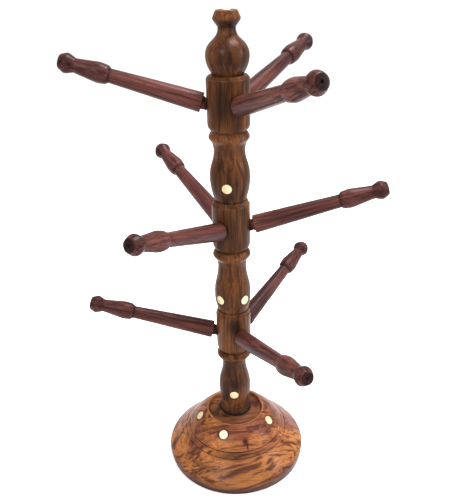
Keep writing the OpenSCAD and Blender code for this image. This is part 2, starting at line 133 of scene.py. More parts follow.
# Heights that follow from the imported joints
SEAT_Z = JOINTS["foot_turn"]["pos_m"][2] / MM
JOINT_Z = [JOINTS[tier + "_tier_turn"]["pos_m"][2] / MM for tier in TIERS]
SHOULDER_Z = [JOINT_Z[t] + DRUM_H[t] + SHOULDER_H for t in (LOWER, MIDDLE)]
TOP_SHOULDER_Z = JOINT_Z[UPPER] + DRUM_H[UPPER] + TOP_SHOULDER_H
WAIST_Z = [SEAT_Z + COLLAR_H, *SHOULDER_Z]
NECK_Z = [z - NECK_DROP for z in JOINT_Z]
WIDEST_Z = [n + (w - n) * at for n, w, at in zip(NECK_Z, WAIST_Z, BELLY_AT)]
BULB_Z = TOP_SHOULDER_Z + BULB_RISE
FINIAL_NECK_Z = BULB_Z + BULB_TOP
CAP_Z = FINIAL_NECK_Z + CAP_H

# Points round each turned piece, and the longest step between points of its outline
BASE_AROUND, BASE_STEP = 360, 1.3
COLUMN_AROUND, COLUMN_STEP = 144, 1.2
PEG_AROUND, PEG_STEP, THREAD_STEP = 72, 1.6, 0.2

# How finely curves and softened corners are drawn, and how far a corner is cut back
CURVE, CORNER = 30, 6
CRISP, EASED, ROUND = 0.3, 0.8, 1.4
# Faces that meet at more than this angle keep a crisp edge
CRISP_ANGLE = math.radians(38)
# A mark's reach round a piece when it goes all the way
ALL_ROUND = 1e4


# ---- Camera, light and floor ----

def add_camera():
    """A look down at the column from just above its top, rolled very slightly."""
    down, roll = math.radians(25.65), math.radians(-1.63)
    forward = Vector((0, math.cos(down), -math.sin(down)))
    level, upright = Vector((1, 0, 0)), Vector((0, math.sin(down), math.cos(down)))
    across = math.cos(roll) * level + math.sin(roll) * upright
    up = math.cos(roll) * upright - math.sin(roll) * level
    turn = Matrix((across, up, -forward)).transposed().to_4x4()
    data = bpy.data.cameras.new("camera")
    data.sensor_width, data.lens = 36, 43.98
    data.clip_start, data.clip_end = 0.01, 20
    camera = bpy.data.objects.new("camera", data)
    camera.matrix_world = Matrix.Translation((-0.00644, -0.5238, 0.4939)) @ turn
    bpy.context.collection.objects.link(camera)
    bpy.context.scene.camera = camera


def add_area_light(name, place, aim, size, power, colour):
    """A soft box at a place, facing a point."""
    data = bpy.data.lights.new(name, "AREA")
    data.shape, data.size, data.size_y = "RECTANGLE", *size
    data.energy, data.color = power, colour
    lamp = bpy.data.objects.new(name, data)
    lamp.location = place
    lamp.rotation_euler = (Vector(aim) - Vector(place)).to_track_quat("-Z", "Y").to_euler()
    bpy.context.collection.objects.link(lamp)


def add_studio():
    """A near-white floor, a white surround, and soft boxes above, at the left front and at the
    right."""
    scene = bpy.context.scene
    scene.view_settings.view_transform = "Standard"
    world = bpy.data.worlds.new("surround")
    world.use_nodes = True
    background = world.node_tree.nodes["Background"]
    background.inputs["Color"].default_value = (1, 1, 1, 1)
    background.inputs["Strength"].default_value = 1.08
    scene.world = world
    middle = (0, 0, 0.24)
    add_area_light("above", (0.3, 0.15, 1.3), middle, (0.4, 0.4), 27, (0.95, 0.97, 1))
    add_area_light("front", (-0.5, -0.85, 0.95), middle, (0.3, 0.4), 12, (1, 0.97, 0.93))
    add_area_light("side", (0.95, -0.25, 0.65), middle, (0.2, 0.5), 9, (0.9, 0.94, 1))
    half = 6
    data = bpy.data.meshes.new("floor")
    data.from_pydata([(-half, -half, 0), (half, -half, 0), (half, half, 0), (-half, half, 0)],
                     [], [(0, 1, 2, 3)])
    floor = bpy.data.objects.new("floor", data)
    bpy.context.collection.objects.link(floor)
    floor.data.materials.append(floor_finish())


# ---- Outlines: arrays of [radius, height] points, in millimetres ----

def bezier(points, steps=CURVE):
    """The curve that control points pull along: repeated blends between neighbours."""
    t = np.linspace(0, 1, steps + 1)[:, None]
    level = [np.array(p, float) * np.ones_like(t) for p in points]
    while len(level) > 1:
        level = [a * (1 - t) + b * t for a, b in zip(level, level[1:])]
    return level[0]


def s_curve(a, b, pull_a=0.5, pull_b=0.5):
    """An S between two points, upright at both ends."""
    rise = b[1] - a[1]
    return bezier([a, (a[0], a[1] + pull_a * rise), (b[0], b[1] - pull_b * rise), b])


def half_belly(widest, waist):
    """Upright at the widest place, and ever steeper towards the waist."""
    return bezier([widest, (widest[0], (widest[1] + waist[1]) / 2), waist])


def softened(corners):
    """Corners given as (radius, height, cut), each bridged with a curve of that cut."""
    p = [np.array(c[:2], float) for c in corners]
    parts = []
    for i, corner in enumerate(corners):
        if i in (0, len(p) - 1) or corner[2] == 0:
            parts.append(p[i][None])
            continue
        to_a, to_c = p[i - 1] - p[i], p[i + 1] - p[i]
        len_a, len_c = np.linalg.norm(to_a), np.linalg.norm(to_c)
        start = p[i] + to_a / len_a * min(corner[2], len_a * 0.49)
        end = p[i] + to_c / len_c * min(corner[2], len_c * 0.49)
        parts.append(bezier([start, p[i], end], CORNER))
    return np.vstack(parts)


def joined(*parts):
    """One outline from several, with points that repeat left out."""
    p = np.vstack([np.atleast_2d(np.array(part, float)) for part in parts])
    keep = np.r_[True, np.linalg.norm(np.diff(p, axis=0), axis=1) > 0.01]
    return p[keep]


def filled_in(outline, longest):
    """The same outline with points added where two are further apart than a length."""
    parts = [outline[:1]]
    for a, b in zip(outline, outline[1:]):
        count = max(1, math.ceil(np.linalg.norm(b - a) / longest))
        parts.append(a + (b - a) * np.linspace(0, 1, count + 1)[1:, None])
    return np.vstack(parts)


def tenon_outline(z):
    r = TENON_D / 2
    return [(0, z - TENON_LEN), (r - THREAD_DEPTH, z - TENON_LEN), (r, z - TENON_LEN + THREAD_DEPTH), (r, z)]


def socket_outline(z):
    r, floor_z = TENON_D / 2 + TENON_FIT, z - TENON_LEN - TENON_END
    return [(r, z), (r, floor_z), (0, floor_z)]


def drum_outline(t):
    """A drum from its joint, over the fine groove, up to its bevelled upper edge."""
    r, z = DRUM_D[t] / 2, JOINT_Z[t]
    return joined([(r - MEET_INSET, z)], softened([
        (r - GROOVE_INSET, z + GROOVE_OPEN, 0),
        (r - FLARE_IN, z + FLARE_LOW, FLARE_ROUND),
        (r, z + FLARE_TOP, EASED),
        (r, z + DRUM_H[t], EASED),
        (r - BEVEL_W, z + DRUM_H[t] + BEVEL_H, 0),
    ]))


def baluster_outline(t):
    """A belly with its neck and bead, from the waist under it up to the joint."""
    r, z = BEAD_D[t] / 2, JOINT_Z[t]
    neck = (NECK_D[t] / 2, NECK_Z[t])
    widest, waist = (BELLY_D[t] / 2, WIDEST_Z[t]), (WAIST_D[t] / 2, WAIST_Z[t])
    return joined(half_belly(widest, waist)[::-1], s_curve(widest, neck, BELLY_PULL, NECK_PULL), softened([
        (*neck, 0),
        (neck[0] + RING_OUT, z - BEAD_H, EASED),
        (r - BEAD_FOOT_IN, z - BEAD_H * BEAD_FOOT_AT, EASED),
        (r, z - BEAD_H * BEAD_LOW_AT, ROUND),
        (r, z - BEAD_H * BEAD_HIGH_AT, ROUND),
        (r - BEAD_TOP_IN, z - BEAD_TOP_DOWN, CRISP),
        (DRUM_D[t] / 2 - MEET_INSET, z, 0),
    ]))


def shoulder_outline(t):
    """The slope between a drum's upper edge and the waist above it."""
    r, w, z = DRUM_D[t] / 2, WAIST_D[t + 1] / 2, SHOULDER_Z[t]
    return softened([
        (r - BEVEL_W, JOINT_Z[t] + DRUM_H[t] + BEVEL_H, 0),
        (w + RING_OUT, z - RING_UP, EASED),
        (w - RING_IN, z - RING_HALF_UP, CRISP),
        (w, z, 0),
    ])


def tier_outline(t):
    return joined(tenon_outline(JOINT_Z[t]), drum_outline(t), shoulder_outline(t),
                  baluster_outline(t + 1), socket_outline(JOINT_Z[t + 1]))


def foot_outline():
    r, w, top = COLLAR_D / 2, WAIST_D[LOWER] / 2, WAIST_Z[LOWER]
    collar = softened([
        (r - COLLAR_FOOT_IN, SEAT_Z, 0),
        (r - COLLAR_EDGE_IN, SEAT_Z + COLLAR_LOW, EASED),
        (r, SEAT_Z + COLLAR_MID, EASED),
        (r - COLLAR_EDGE_IN, SEAT_Z + COLLAR_TOP, 0),
    ])
    cove = bezier([
        (r - COLLAR_EDGE_IN, SEAT_Z + COLLAR_TOP),
        (w + COVE_W, SEAT_Z + COLLAR_TOP + COVE_H),
        (w, top - COVE_END),
    ])
    return joined(tenon_outline(SEAT_Z), collar, cove, [(w - COVE_GROOVE, top - COVE_GROOVE_DOWN)],
                  baluster_outline(LOWER), socket_outline(JOINT_Z[LOWER]))


def upper_outline():
    """The top drum, the bulb and the cap, with the button's seat sunk in the cap."""
    r, w, n = DRUM_D[UPPER] / 2, BULB_WAIST_D / 2, FINIAL_NECK_D / 2
    ridge_z = FINIAL_NECK_Z + CAP_H * RIDGE_AT
    seat = BUTTON_D / 2 + INLAY_FIT
    return joined(
        tenon_outline(JOINT_Z[UPPER]),
        drum_outline(UPPER),
        softened([
            (r - BEVEL_W, JOINT_Z[UPPER] + DRUM_H[UPPER] + BEVEL_H, 0),
            (r - TOP_BREAK_IN, TOP_SHOULDER_Z - BULB_RING_OUT, EASED),
            (w + BULB_RING_OUT, TOP_SHOULDER_Z - TOP_GROOVE, EASED),
            (w - TOP_GROOVE, TOP_SHOULDER_Z - TOP_GROOVE, CRISP),
            (w, TOP_SHOULDER_Z, 0),
        ]),
        half_belly((BULB_D / 2, BULB_Z), (w, TOP_SHOULDER_Z))[::-1],
        s_curve((BULB_D / 2, BULB_Z), (n, FINIAL_NECK_Z), BULB_PULL, NECK_PULL),
        softened([
            (n, FINIAL_NECK_Z, 0),
            (n, FINIAL_NECK_Z + CAP_NECK_UP, CAP_NECK_CUT),
            (CAP_D / 2, ridge_z - RIDGE_DOWN, ROUND),
            (CAP_D / 2, ridge_z + RIDGE_UP, ROUND),
            (CAP_TOP_D / 2, CAP_Z, ROUND),
            (seat, CAP_Z, 0),
        ]),
        [(seat, CAP_Z - INLAY_T), (0, CAP_Z - INLAY_T)],
    )


def dome_curve():
    """The dome's control points, from its edge to the foot of its raised ring."""
    crest = CREST_D / 2
    return [
        (DOME_D / 2, DOME_EDGE_H),
        (crest + DOME_SWELL_OUT, SEAT_Z - DOME_SWELL_LOW),
        (crest + CREST_FOOT_OUT, SEAT_Z + CREST_FOOT_UP),
    ]


def base_outline():
    """The base from the middle of its underside, over rim, bead, dome, raised ring and dish, and
    down its socket."""
    r, ring, edge = BASE_D / 2, BEAD_RING_D / 2, DOME_D / 2
    crest, collar = CREST_D / 2, COLLAR_D / 2
    groove_z = DOME_EDGE_H - BEAD_RING_LOW
    return joined(
        softened([
            (0, 0, 0),
            (r - RIM_FOOT_IN, 0, ROUND),
            (r, RIM_H, RIM_ROUND),
            (ring + BEAD_RING_OUT, groove_z, SLIGHT_CUT),
            (ring - BEAD_RING_IN, groove_z + GROOVE_FLAT, FINE_CUT),
            (ring - BEAD_RING_IN, groove_z + GROOVE_FLAT + BEAD_RING_DROP, CROWN_CUT),
            (edge + BEAD_CROWN_OUT, DOME_EDGE_H - BEAD_CROWN_LOW, CROWN_CUT),
            (edge - DOME_GROOVE_IN, DOME_EDGE_H - DOME_GROOVE_LOW, FINE_CUT),
            (edge - DOME_GROOVE_IN, DOME_EDGE_H - DOME_GROOVE_TOP, FINE_CUT),
            (edge, DOME_EDGE_H, 0),
        ]),
        bezier(dome_curve(), CURVE * 2),
        softened([
            (crest + CREST_FOOT_OUT, SEAT_Z + CREST_FOOT_UP, 0),
            (crest + CREST_TOP_OUT, SEAT_Z + CREST_TOP_UP, SLIGHT_CUT),
            (crest - CREST_TOP_IN, SEAT_Z + CREST_TOP_UP, SLIGHT_CUT),
            (crest - CREST_INNER_IN, SEAT_Z - CREST_FOOT_UP, 0),
        ]),
        bezier([
            (crest - CREST_INNER_IN, SEAT_Z - CREST_FOOT_UP),
            (crest - DISH_SIDE_IN, SEAT_Z - DISH_DEPTH * DISH_SIDE_AT),
            (collar + DISH_FLOOR_OUT, SEAT_Z - DISH_DEPTH * DISH_FLOOR_AT),
            (collar - DISH_END_IN, SEAT_Z - DISH_END_LOW),
        ]),
        [(collar - SEAT_IN, SEAT_Z)],
        socket_outline(SEAT_Z),
    )


def peg_outline():
    """A peg from its tenon's tip to the pit in its knob, measured from its root face."""
    root, thin, barrel = PEG_ROOT_D / 2, PEG_THIN_D / 2, BARREL_D / 2
    neck, knob, tenon = PEG_NECK_D / 2, KNOB_D / 2, PEG_TENON_D / 2
    neck_z = PEG_SHAFT + BARREL_LEN
    end_z = neck_z + KNOB_LEN
    return joined(
        [(0, -PEG_TENON_LEN), (tenon - THREAD_DEPTH, -PEG_TENON_LEN),
         (tenon, -PEG_TENON_LEN + THREAD_DEPTH)],
        softened([(tenon, 0, 0), (root, 0, EASED), (root, PEG_EDGE, 0)]),
        bezier([
            (root, PEG_EDGE),
            (root - TAPER_SAG, PEG_SHAFT * TAPER_MID),
            (thin, PEG_SHAFT - STEP_BACK),
        ]),
        softened([
            (thin, PEG_SHAFT - STEP_BACK, 0),
            (thin, PEG_SHAFT, CRISP),
            (barrel - BARREL_FOOT_IN, PEG_SHAFT + BARREL_FOOT_AT, BARREL_FOOT_ROUND),
            (barrel, PEG_SHAFT + BARREL_WIDE_AT, BARREL_ROUND),
            (neck, neck_z, EASED),
            (knob - KNOB_FLARE_IN, neck_z + KNOB_FLARE_AT, ROUND),
            (knob, neck_z + KNOB_WIDE_AT, ROUND),
            (KNOB_END_D / 2, end_z - KNOB_END_BACK, ROUND),
            (CENTRE_D / 2, end_z, 0),
        ]),
        [(0, end_z - CENTRE_D * PIT_DEPTH)],
    )


# ---- Meshes ----

def lathe(outline, around, threads=()):
    """A closed turned surface: the point at angle a and outline place s is
    (r(s) cos a, r(s) sin a, z(s)), where r loses a triangle wave of (z / pitch - a / turn)
    on each stretch of thread. The first and last outline points lie on the axis."""
    a = np.arange(around) * 2 * np.pi / around
    r, z = (outline[1:-1, i][:, None] * np.ones(around) for i in (0, 1))
    for low, high, pitch in threads:
        wave = np.abs((z / pitch - a / (2 * np.pi)) % 1 * 2 - 1)
        fade = np.clip((z - low) / pitch, 0, 1) * np.clip((high - z) / (pitch * 0.3), 0, 1)
        on_thread = (z > low + 0.01) & (z < high - 0.01)
        r = r - np.where(on_thread, THREAD_DEPTH * wave * fade, 0)
    rings = np.stack([r * np.cos(a), r * np.sin(a), z], axis=2).reshape(-1, 3)
    points = np.vstack([rings, [[0, 0, outline[0, 1]], [0, 0, outline[-1, 1]]]])
    rows, first, last = len(outline) - 2, len(rings), len(rings) + 1
    i, j = np.meshgrid(np.arange(rows - 1), np.arange(around), indexing="ij")
    k = (j + 1) % around
    quads = np.stack([i * around + j, i * around + k, (i + 1) * around + k, (i + 1) * around + j], 2)
    j = np.arange(around)
    k = (j + 1) % around
    top = (rows - 1) * around
    caps = [np.stack([np.full(around, first), k, j], 1),
            np.stack([np.full(around, last), top + j, top + k], 1)]
    return points, quads.reshape(-1, 4).tolist() + caps[0].tolist() + caps[1].tolist()


def make_piece(name, points, faces):
    """An object at the origin whose mesh holds its place, in metres."""
    mesh = bpy.data.meshes.new(name)
    mesh.from_pydata((np.asarray(points) * MM).tolist(), [], faces)
    mesh.validate()
    piece = bpy.data.objects.new(name, mesh)
    bpy.context.collection.objects.link(piece)
    return piece


def smooth(piece):
    """Smooth shading that keeps the crisp edges."""
    piece.data.shade_smooth()
    piece.data.set_sharp_from_angle(angle=CRISP_ANGLE)


def placed(points, base, along):
    """Points of a shape drawn up +Z, carried to a place and a direction."""
    along = Vector(along).normalized()
    turn = Vector((0, 0, 1)).rotation_difference(along).to_matrix()
    return np.asarray(points) @ np.array(turn).T + np.array(base)


def cylinder(radius, length, around=96):
    outline = np.array([(0, 0), (radius, 0), (radius, length), (0, length)], float)
    return lathe(outline, around)


def cut(piece, cutters):
    """Takes cylinders, each given as (base, direction, radius, length), out of a piece."""
    points, faces = [], []
    for base, along, radius, length in cutters:
        p, f = cylinder(radius, length)
        count = sum(len(q) for q in points)
        points.append(placed(p, base, along))
        faces += [[i + count for i in face] for face in f]
    tool = make_piece("cutter", np.vstack(points), faces)
    change = piece.modifiers.new("holes", "BOOLEAN")
    change.operation, change.object, change.solver = "DIFFERENCE", tool, "EXACT"
    depsgraph = bpy.context.evaluated_depsgraph_get()
    mesh = bpy.data.meshes.new_from_object(piece.evaluated_get(depsgraph))
    piece.modifiers.clear()
    piece.data = mesh
    mesh.name = piece.name
    bpy.data.objects.remove(tool, do_unlink=True)


def vertex_places(piece):
    co = np.zeros(len(piece.data.vertices) * 3)
    piece.data.vertices.foreach_get("co", co)
    return co.reshape(-1, 3)


def set_value(piece, name, values):
    """A number or a vector kept at every vertex, which the materials read by name."""
    kind = "FLOAT_VECTOR" if values.ndim == 2 else "FLOAT"
    layer = piece.data.attributes.new(name, kind, "POINT")
    layer.data.foreach_set("vector" if values.ndim == 2 else "value", values.ravel().astype(np.float32))


# The materials use this measure to paint proud edges paler, as a painted highlight, and grooves darker, as
# painted shade.
def relief_of(outline, along, across):
    """How proud or sheltered each place of a turned surface is, from -1 in a groove to 1 on
    an edge: the outline's height above its own running mean, looked up at the nearest
    outline point."""
    fine = filled_in(outline, 0.3)
    step = np.linalg.norm(np.diff(fine, axis=0), axis=1)
    s = np.r_[0, np.cumsum(step)]
    even = np.arange(0, s[-1], 0.3)
    p = np.stack([np.interp(even, s, fine[:, i]) for i in (0, 1)], 1)
    reach = 7
    kernel = np.hanning(2 * reach + 3)[1:-1]
    kernel /= kernel.sum()
    padded = np.pad(p, ((reach, reach), (0, 0)), mode="edge")
    mean = np.stack([np.convolve(padded[:, i], kernel, "valid") for i in (0, 1)], 1)
    way = np.gradient(p, axis=0)
    way /= np.linalg.norm(way, axis=1)[:, None] + 1e-9
    outward = np.stack([way[:, 1], -way[:, 0]], 1)
    proud = np.clip(((p - mean) * outward).sum(1) / 0.22, -1, 1)
    found = np.empty(len(along))
    for start in range(0, len(along), 4000):
        part = slice(start, start + 4000)
        far = (across[part, None] - p[:, 0]) ** 2 + (along[part, None] - p[:, 1]) ** 2
        found[part] = proud[far.argmin(1)]
    return found


def across_from(way):
    """Two directions square to a direction, the first of them level, and the direction."""
    way = np.array(Vector(way).normalized())
    side = np.cross((0, 0, 1), way) if abs(way[2]) < 0.99 else np.array((1.0, 0, 0))
    side /= np.linalg.norm(side)
    return side, np.cross(way, side), way


def marked(azimuth, across, along, marks):
    """How strongly marks fall on places of a turned piece. A mark is ((azimuth, radius, height),
    (reach round, reach out, reach up), power, strength) and gives strength * exp(-d ** power),
    where d is the distance in reaches. The strongest mark counts."""
    total = np.zeros(len(across))
    for (az, r, z), reach, power, strength in marks:
        arc = max(r, 1) * ((azimuth - math.radians(az) + np.pi) % (2 * np.pi) - np.pi)
        far = np.sqrt((arc / reach[0]) ** 2 + ((across - r) / reach[1]) ** 2
                      + ((along - z) / reach[2]) ** 2)
        total = np.maximum(total, strength * np.exp(-np.minimum(far, 9) ** power))
    return total


def finish_wood(piece, outline, place, way, fibre, seed, dark, warm):
    """Stores the grain's own coordinates, how proud or grooved each place is (which drives painted edge
    highlights and painted groove shade), and where the timber is dark (stains and painted shade) and warm
    (its own tone and painted highlight).
    Each timber gets its own stretch of the pattern from its seed."""
    local = vertex_places(piece) / MM - np.array(place)
    side, up, way = across_from(way)
    along = local @ way
    across = np.hypot(local @ side, local @ up)
    azimuth = np.arctan2(local @ up, local @ side)
    set_value(piece, "relief_shade", relief_of(outline, along, across))
    set_value(piece, "stain_and_shade", marked(azimuth, across, along, dark))
    set_value(piece, "warm", marked(azimuth, across, along, warm))
    shift = np.random.default_rng(seed).uniform(-1, 1, 3) * (0.02, 0.02, 0.7)
    set_value(piece, "grain", np.stack([local @ v for v in across_from(fibre)], 1) * MM + shift)


# ---- Shader helpers ----

class Tree:
    """A short way to add nodes and join them up."""

    def __init__(self, tree):
        self.tree = tree

    def put(self, socket, value):
        if isinstance(value, bpy.types.NodeSocket):
            self.tree.links.new(value, socket)
        else:
            socket.default_value = value

    def node(self, kind, inputs=(), **settings):
        made = self.tree.nodes.new(kind if kind.startswith("Node") else "ShaderNode" + kind)
        for key, value in settings.items():
            setattr(made, key, value)
        for key, value in dict(inputs).items():
            self.put(made.inputs[key], value)
        return made

    def math(self, operation, a, b=0.5, c=0.5, clamp=False):
        made = self.node("Math", {0: a, 1: b, 2: c}, operation=operation, use_clamp=clamp)
        return made.outputs[0]

    def noise(self, vector, scale, detail=3, rough=0.5, distort=0.0):
        inputs = {"Vector": vector, "Scale": scale, "Detail": detail, "Roughness": rough,
                  "Distortion": distort}
        return self.node("TexNoise", inputs).outputs["Fac"]

    def stretch(self, vector, factors):
        return self.node("Mapping", {"Vector": vector, "Scale": factors}).outputs[0]

    def ramp(self, value, low, high, to_low=0.0, to_high=1.0):
        """A smooth step of a value from one pair of levels to another."""
        inputs = {"Value": value, 1: low, 2: high, 3: to_low, 4: to_high}
        return self.node("MapRange", inputs, interpolation_type="SMOOTHSTEP").outputs[0]

    def blend(self, amount, a, b, kind="MIX"):
        made = self.node("Mix", data_type="RGBA", blend_type=kind)
        for key, value in ((0, amount), (6, a), (7, b)):
            self.put(made.inputs[key], value)
        return made.outputs[2]

    def value_of(self, name, kind="Fac"):
        return self.node("Attribute", attribute_name=name).outputs[kind]


def new_material(name):
    """A material with only a shader and its output, and the tree to add to."""
    material = bpy.data.materials.new(name)
    material.use_nodes = True
    material.node_tree.nodes.clear()
    tree = Tree(material.node_tree)
    shader = tree.node("BsdfPrincipled")
    output = tree.node("OutputMaterial")
    tree.put(output.inputs["Surface"], shader.outputs[0])
    return material, tree, shader


def figure_group():
    """The figure of rosewood, as masks: growth lines, long soft streaks, dark veins, broad clouds,
    short pores and a fine fibre. The fibre runs along the vector's third part, and one slow warp
    bends the lines, the streaks and the clouds together."""
    group = bpy.data.node_groups.new("rosewood_figure", "ShaderNodeTree")
    sockets = (("Grain", "Vector"), ("Pith", "Vector"), ("Line spacing", "Float"),
               ("Streak scale", "Float"), ("Wander", "Float"))
    for name, kind in sockets:
        group.interface.new_socket(name, in_out="INPUT", socket_type="NodeSocket" + kind)
    for name in ("Lines", "Streaks", "Veins", "Clouds", "Pores", "Fibre"):
        group.interface.new_socket(name, in_out="OUTPUT", socket_type="NodeSocketFloat")
    tree = Tree(group)
    given = tree.node("NodeGroupInput").outputs
    grain = given["Grain"]
    warp = tree.node("TexNoise", {"Vector": tree.stretch(grain, (1, 1, 0.35)), "Scale": 16, "Detail": 2})
    amount = tree.math("MULTIPLY", given["Wander"], 0.03)
    push = tree.node("VectorMath", {0: warp.outputs["Color"], "Scale": amount}, operation="SCALE")
    bent = tree.node("VectorMath", {0: grain, 1: push.outputs[0]}, operation="ADD").outputs[0]
    from_pith = tree.node("VectorMath", {0: bent, 1: given["Pith"]}, operation="SUBTRACT").outputs[0]
    flat = tree.stretch(from_pith, (1, 1, 0.04))
    radius = tree.node("VectorMath", {0: flat}, operation="LENGTH").outputs["Value"]
    turns = tree.math("MULTIPLY", radius, given["Line spacing"])
    saw = tree.math("FRACT", turns)
    lines = tree.math("MULTIPLY", tree.ramp(saw, 0.3, 0.9), tree.ramp(saw, 1.0, 0.9))
    vein_noise = tree.noise(tree.node("CombineXYZ", {"X": turns}).outputs[0], 0.55, 1)
    broken = tree.ramp(tree.noise(tree.stretch(bent, (1, 1, 0.12)), 60, 2), 0.42, 0.6)
    veins = tree.math("MULTIPLY", lines, tree.math("MULTIPLY", tree.ramp(vein_noise, 0.5, 0.6), broken))
    streaks = tree.noise(tree.stretch(bent, (1, 1, 0.028)), given["Streak scale"], 3, 0.55)
    clouds = tree.noise(tree.stretch(bent, (1, 1, 0.28)), 36, 3, 0.55)
    pores = tree.noise(tree.stretch(grain, (1, 1, 0.045)), 1500, 1)
    fibre = tree.noise(tree.stretch(grain, (1, 1, 0.03)), 620, 3, 0.6)
    output = tree.node("NodeGroupOutput")
    results = {"Lines": tree.math("MULTIPLY", lines, broken), "Streaks": tree.ramp(streaks, 0.46, 0.64),
               "Veins": veins, "Clouds": tree.ramp(clouds, 0.36, 0.64),
               "Pores": tree.ramp(pores, 0.60, 0.70), "Fibre": fibre}
    for name, socket in results.items():
        tree.put(output.inputs[name], socket)
    return group


def wood_finish(name, group, colours, figure, strengths):
    """Oiled rosewood. Colours are (pale, middle, dark, vein); figure is (line spacing, streak
    scale, wander, pith); strengths are how much streaks, lines and veins show."""
    pale, middle, dark, vein = (tuple(c) + (1,) for c in colours)
    material, tree, shader = new_material(name)
    made = tree.node("Group", node_tree=group)
    values = (tree.value_of("grain", "Vector"), *figure)
    for key, value in zip(("Grain", "Line spacing", "Streak scale", "Wander", "Pith"), values):
        tree.put(made.inputs[key], value)
    out = made.outputs
    relief_shade, stain_and_shade, warm = (tree.value_of(key) for key in ("relief_shade", "stain_and_shade", "warm"))
    proud, sheltered = tree.ramp(relief_shade, 0.25, 1.0), tree.ramp(relief_shade, -0.2, -1.0)
    uneven = tree.ramp(out["Fibre"], 0.3, 0.7, 0.8, 1.0)
    colour = tree.blend(out["Clouds"], middle, pale)
    # Warm places: the timber's own tone, plus a painted highlight on the beads and the cap's top.
    colour = tree.blend(tree.math("MULTIPLY", warm, uneven), colour, pale)
    for key, strength, tone in zip(("Streaks", "Lines", "Veins", "Pores"), (*strengths, 0.5),
                                   (dark, dark, vein, vein)):
        colour = tree.blend(tree.math("MULTIPLY", out[key], strength), colour, tone)
    fibre = tree.ramp(out["Fibre"], 0.3, 0.7, 0.72, 1.25)
    grey = tree.node("CombineXYZ", {0: fibre, 1: fibre, 2: fibre}).outputs[0]
    colour = tree.blend(1.0, colour, grey, "MULTIPLY")
    # Painted highlight: proud edges turn paler. Painted shade: grooves turn towards the vein colour.
    colour = tree.blend(tree.math("MULTIPLY", proud, 0.4), colour, pale)
    colour = tree.blend(tree.math("MULTIPLY", sheltered, 0.55), colour, vein)
    # Dark places: real stains, knots and glue rings, plus painted shade in the base's dish and lower rim,
    # round the peg holes, at the collar, under the beads and under the cap.
    colour = tree.blend(tree.math("MULTIPLY", stain_and_shade, uneven), colour, vein)
    tree.put(shader.inputs["Base Color"], colour)
    rough = tree.ramp(out["Fibre"], 0.25, 0.75, 0.27, 0.42)
    rough = tree.math("MULTIPLY_ADD", out["Pores"], 0.25, rough)
    rough = tree.math("MULTIPLY_ADD", sheltered, 0.2, rough, clamp=True)
    tree.put(shader.inputs["Roughness"], rough)
    shader.inputs["Specular IOR Level"].default_value = 0.06
    height = tree.math("MULTIPLY_ADD", out["Pores"], -0.6, tree.math("MULTIPLY", out["Fibre"], 0.35))
    bump = tree.node("Bump", {"Height": height, "Strength": 0.35, "Distance": 0.0002})
    tree.put(shader.inputs["Normal"], bump.outputs[0])
    return material


def disc_finish():
    """Pale sanded metal with fine scratches that cross and small dark specks."""
    material, tree, shader = new_material("pale_brass")
    place = tree.node("TexCoord").outputs["Object"]
    turned = tree.node("Mapping", {"Vector": place, "Rotation": (0.4, 0.7, 0.6)}).outputs[0]
    scratch = tree.noise(tree.stretch(turned, (1, 0.06, 1)), 2600, 2, 0.6)
    cross = tree.noise(tree.stretch(turned, (0.06, 1, 1)), 2100, 2, 0.6)
    speck = tree.ramp(tree.noise(place, 900, 2), 0.66, 0.74)
    tone = tree.blend(tree.ramp(scratch, 0.35, 0.65), (0.42, 0.32, 0.15, 1), (0.60, 0.53, 0.36, 1))
    tone = tree.blend(tree.math("MULTIPLY", speck, 0.4), tone, (0.35, 0.25, 0.12, 1))
    tree.put(shader.inputs["Base Color"], tone)
    shader.inputs["Metallic"].default_value = 0.55
    tree.put(shader.inputs["Roughness"], tree.ramp(cross, 0.3, 0.7, 0.34, 0.52))
    height = tree.math("ADD", scratch, cross)
    bump = tree.node("Bump", {"Height": height, "Strength": 0.2, "Distance": 0.00005})
    tree.put(shader.inputs["Normal"], bump.outputs[0])
    return material


def floor_finish():
    material, tree, shader = new_material("floor")
    place = tree.node("TexCoord").outputs["Object"]
    tone = tree.blend(tree.noise(place, 3, 2), (0.95, 0.95, 0.95, 1), (0.97, 0.97, 0.97, 1))
    tree.put(shader.inputs["Base Color"], tone)
    shader.inputs["Roughness"].default_value = 0.9
    return material


# ---- The pieces ----

def belly_radius(t, z):
    """A belly's radius below its widest place, which falls away with the square of depth."""
    down = (WIDEST_Z[t] - z) / (WIDEST_Z[t] - WAIST_Z[t])
    return (BELLY_D[t] + (WAIST_D[t] - BELLY_D[t]) * down ** 2) / 2


def column_disc_places(t):
    """Centre on the surface and outward direction of each disc in a belly."""
    z = WAIST_Z[t] + INLAY_RISE[t]
    r = belly_radius(t, z)
    ways = [(math.cos(math.radians(az)), math.sin(math.radians(az)), 0) for az in DISC_AZ[t]]
    return [((r * x, r * y, z), (x, y, 0)) for x, y, _ in ways]


def dome_disc_places():
    """Centre and outward direction, square to the dome's curve, of each disc in the dome."""
    at, ahead = (bezier(dome_curve(), 1000)[round(1000 * t)] for t in (DOME_AT, DOME_AT + 0.01))
    slope = ahead - at
    out_r, out_z = slope[1], -slope[0]
    length = math.hypot(out_r, out_z)
    places = []
    for az in DOME_AZ:
        c, s = math.cos(math.radians(az)), math.sin(math.radians(az))
        places.append(((at[0] * c, at[0] * s, at[1]),
                       (out_r / length * c, out_r / length * s, out_z / length)))
    return places


def disc_cutters(places):
    return [(np.array(c) - INLAY_T * np.array(w), w, INLAY_D / 2 + INLAY_FIT, INLAY_T + 3)
            for c, w in places]


